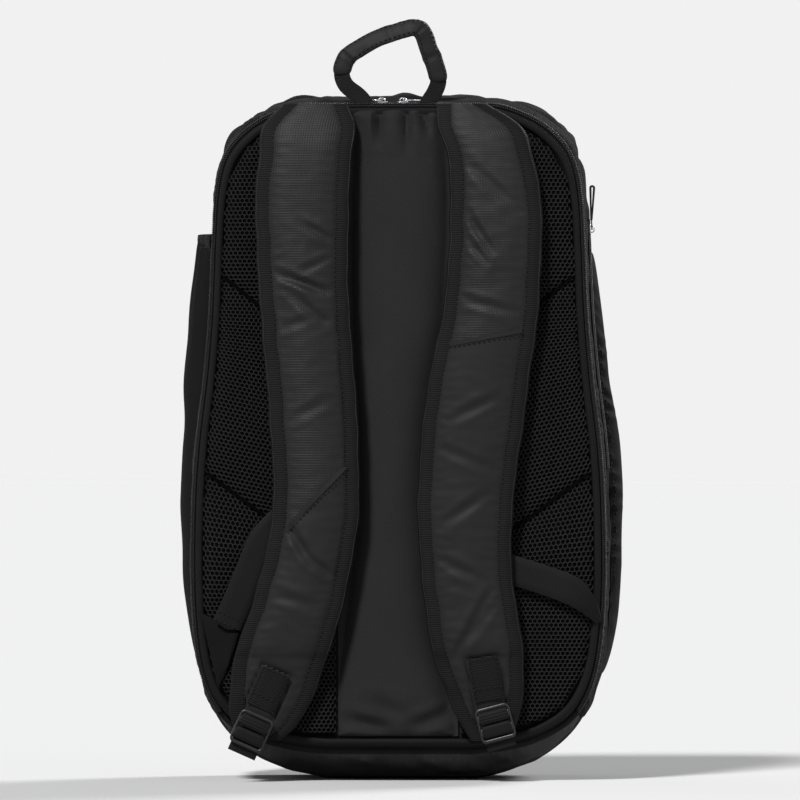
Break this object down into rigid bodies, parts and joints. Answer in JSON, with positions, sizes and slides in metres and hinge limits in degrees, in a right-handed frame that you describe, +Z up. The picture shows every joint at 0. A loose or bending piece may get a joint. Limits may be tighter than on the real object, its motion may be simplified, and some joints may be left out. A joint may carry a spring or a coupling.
{
  "type": "racket backpack",
  "caption": "Black racket backpack with a padded mesh back, curved shoulder straps with ladder-lock adjusters, haul handle, zipped compartments that open, and side pockets.",
  "frame": {"origin": "on the ground under the middle of the bag's bounding box", "axes": "+X to the right when facing the harness side, -Y towards the wearer's back, +Z up"},
  "size_m": [0.3364, 0.23, 0.5734],
  "materials": {
    "ripstop": "black ripstop with a slight sheen",
    "polyester": "plain black polyester",
    "spacer_mesh": "black spacer mesh",
    "soft_fabric": "soft matt fabric",
    "binding": "ribbed binding tape",
    "webbing": "woven webbing",
    "lining": "padded lining",
    "board": "foam board",
    "zip_tape": "zip tape with a coil",
    "plastic": "moulded black plastic",
    "metal": "bright metal"
  },
  "bodies": {
    "bag": {"adjuster_webbing_left": "webbing", "adjuster_webbing_right": "webbing", "anchor_wing_left": "polyester", "anchor_wing_right": "polyester", "back_binding": "binding", "back_board": "board", "base_panel": "polyester", "base_stiffener": "board", "front_apron": "polyester", "laptop_sleeve": "lining", "main_gusset_left": "polyester", "main_gusset_right": "polyester", "main_gusset_top": "ripstop", "main_zip_tape": "zip_tape", "mesh_pad_left": "spacer_mesh", "mesh_pad_right": "spacer_mesh", "padded_divider": "lining", "racket_gusset_base": "polyester", "racket_gusset_left": "ripstop", "racket_gusset_right": "ripstop", "racket_zip_tape": "zip_tape", "side_pocket_left": "polyester", "spine_pad": "soft_fabric"},
    "side_pocket_right": {"side_pocket_right": "polyester"},
    "racket_flap": {"racket_flap": "ripstop"},
    "front_panel": {"front_panel": "ripstop", "front_pocket_gusset": "polyester"},
    "front_pocket_cover": {"front_pocket_cover": "ripstop"},
    "handle": {"handle_sleeve": "polyester", "handle_webbing": "webbing"},
    "strap_left": {"shoulder_strap_left": "ripstop", "strap_tab_left": "webbing", "webbing_run_left": "webbing"},
    "ladder_lock_left": {"ladder_lock_left": "plastic", "tab_loop_left": "webbing", "webbing_tail_left": "webbing"},
    "strap_right": {"shoulder_strap_right": "ripstop", "strap_tab_right": "webbing", "webbing_run_right": "webbing"},
    "ladder_lock_right": {"ladder_lock_right": "plastic", "tab_loop_right": "webbing", "webbing_tail_right": "webbing"},
    "racket_left_slider": {"racket_left_slider": "metal"},
    "racket_left_pull": {"racket_left_pull": "metal"},
    "racket_right_slider": {"racket_right_slider": "metal"},
    "racket_right_pull": {"racket_right_pull": "metal"},
    "main_left_slider": {"main_left_slider": "metal"},
    "main_left_pull": {"main_left_pull": "metal"},
    "main_right_slider": {"main_right_slider": "metal"},
    "main_right_pull": {"main_right_pull": "metal"},
    "pocket_slider": {"pocket_slider": "metal"},
    "pocket_pull": {"pocket_pull": "metal"},
    "side_slider": {"side_slider": "metal"},
    "side_pull": {"side_pull": "metal"}
  },
  "joints": [
    {"name": "strap_left_swing", "type": "hinge", "parent": "bag", "child": "strap_left", "pos_m": [-0.0615, -0.0895, 0.5085], "axis": [-1, 0, 0], "range_deg": [0, 30]},
    {"name": "strap_right_swing", "type": "hinge", "parent": "bag", "child": "strap_right", "pos_m": [0.0476, -0.0895, 0.5085], "axis": [-1, 0, 0], "range_deg": [0, 30]},
    {"name": "ladder_lock_left_tilt", "type": "hinge", "parent": "strap_left", "child": "ladder_lock_left", "pos_m": [-0.1032, -0.1095, 0.05175], "axis": [-0.9135, 0, 0.4067], "range_deg": [0, 60]},
    {"name": "ladder_lock_right_tilt", "type": "hinge", "parent": "strap_right", "child": "ladder_lock_right", "pos_m": [0.06965, -0.1095, 0.05831], "axis": [-0.9659, 0, -0.2588], "range_deg": [0, 60]},
    {"name": "handle_fold", "type": "hinge", "parent": "bag", "child": "handle", "pos_m": [0, -0.0806, 0.5089], "axis": [1, 0, 0], "range_deg": [0, 60]},
    {"name": "racket_flap_lift", "type": "hinge", "parent": "bag", "child": "racket_flap", "pos_m": [0, -0.0354, 0.51294], "axis": [-1, 0, 0], "range_deg": [0, 100]},
    {"name": "front_panel_open", "type": "hinge", "parent": "bag", "child": "front_panel", "pos_m": [0, 0.0702, 0.05335], "axis": [-1, 0, 0], "range_deg": [0, 90]},
    {"name": "front_pocket_open", "type": "hinge", "parent": "front_panel", "child": "front_pocket_cover", "pos_m": [0, 0.102, 0.0778], "axis": [-1, 0, 0], "range_deg": [0, 60]},
    {"name": "side_pocket_open", "type": "hinge", "parent": "bag", "child": "side_pocket_right", "pos_m": [0.15761, 0.0445, 0.23879], "axis": [0, 0, 1], "range_deg": [0, 35]},
    {"name": "racket_left_run", "type": "slide", "parent": "bag", "child": "racket_left_slider", "axis": [-1, 0, 0], "range_m": [0, 0.05]},
    {"name": "racket_right_run", "type": "slide", "parent": "bag", "child": "racket_right_slider", "axis": [1, 0, 0], "range_m": [0, 0.05]},
    {"name": "main_left_run", "type": "slide", "parent": "bag", "child": "main_left_slider", "axis": [-1, 0, 0], "range_m": [0, 0.08]},
    {"name": "main_right_run", "type": "slide", "parent": "bag", "child": "main_right_slider", "axis": [1, 0, 0], "range_m": [0, 0.028]},
    {"name": "pocket_run", "type": "slide", "parent": "front_panel", "child": "pocket_slider", "axis": [1, 0, 0], "range_m": [0, 0.09]},
    {"name": "side_run", "type": "slide", "parent": "bag", "child": "side_slider", "axis": [0.0576, 0, -0.9983], "range_m": [0, 0.1]},
    {"name": "racket_left_pull_turn", "type": "hinge", "parent": "racket_left_slider", "child": "racket_left_pull", "pos_m": [-0.0125, -0.0744, 0.51132], "axis": [0, 1, 0], "range_deg": [0, 100]},
    {"name": "racket_right_pull_turn", "type": "hinge", "parent": "racket_right_slider", "child": "racket_right_pull", "pos_m": [0.0035, -0.0744, 0.51132], "axis": [0, -1, 0], "range_deg": [0, 100]},
    {"name": "main_left_pull_turn", "type": "hinge", "parent": "main_left_slider", "child": "main_left_pull", "pos_m": [0.02, 0.061, 0.51568], "axis": [0, 1, 0], "range_deg": [0, 100]},
    {"name": "main_right_pull_turn", "type": "hinge", "parent": "main_right_slider", "child": "main_right_pull", "pos_m": [0.036, 0.061, 0.51568], "axis": [0, -1, 0], "range_deg": [0, 100]},
    {"name": "pocket_pull_turn", "type": "hinge", "parent": "pocket_slider", "child": "pocket_pull", "pos_m": [-0.045, 0.0956, 0.3387], "axis": [0, -1, 0], "range_deg": [0, 170]},
    {"name": "side_pull_turn", "type": "hinge", "parent": "side_slider", "child": "side_pull", "pos_m": [0.14491, -0.0238, 0.41525], "axis": [0, 1, 0], "range_deg": [0, 170]}
  ]
}
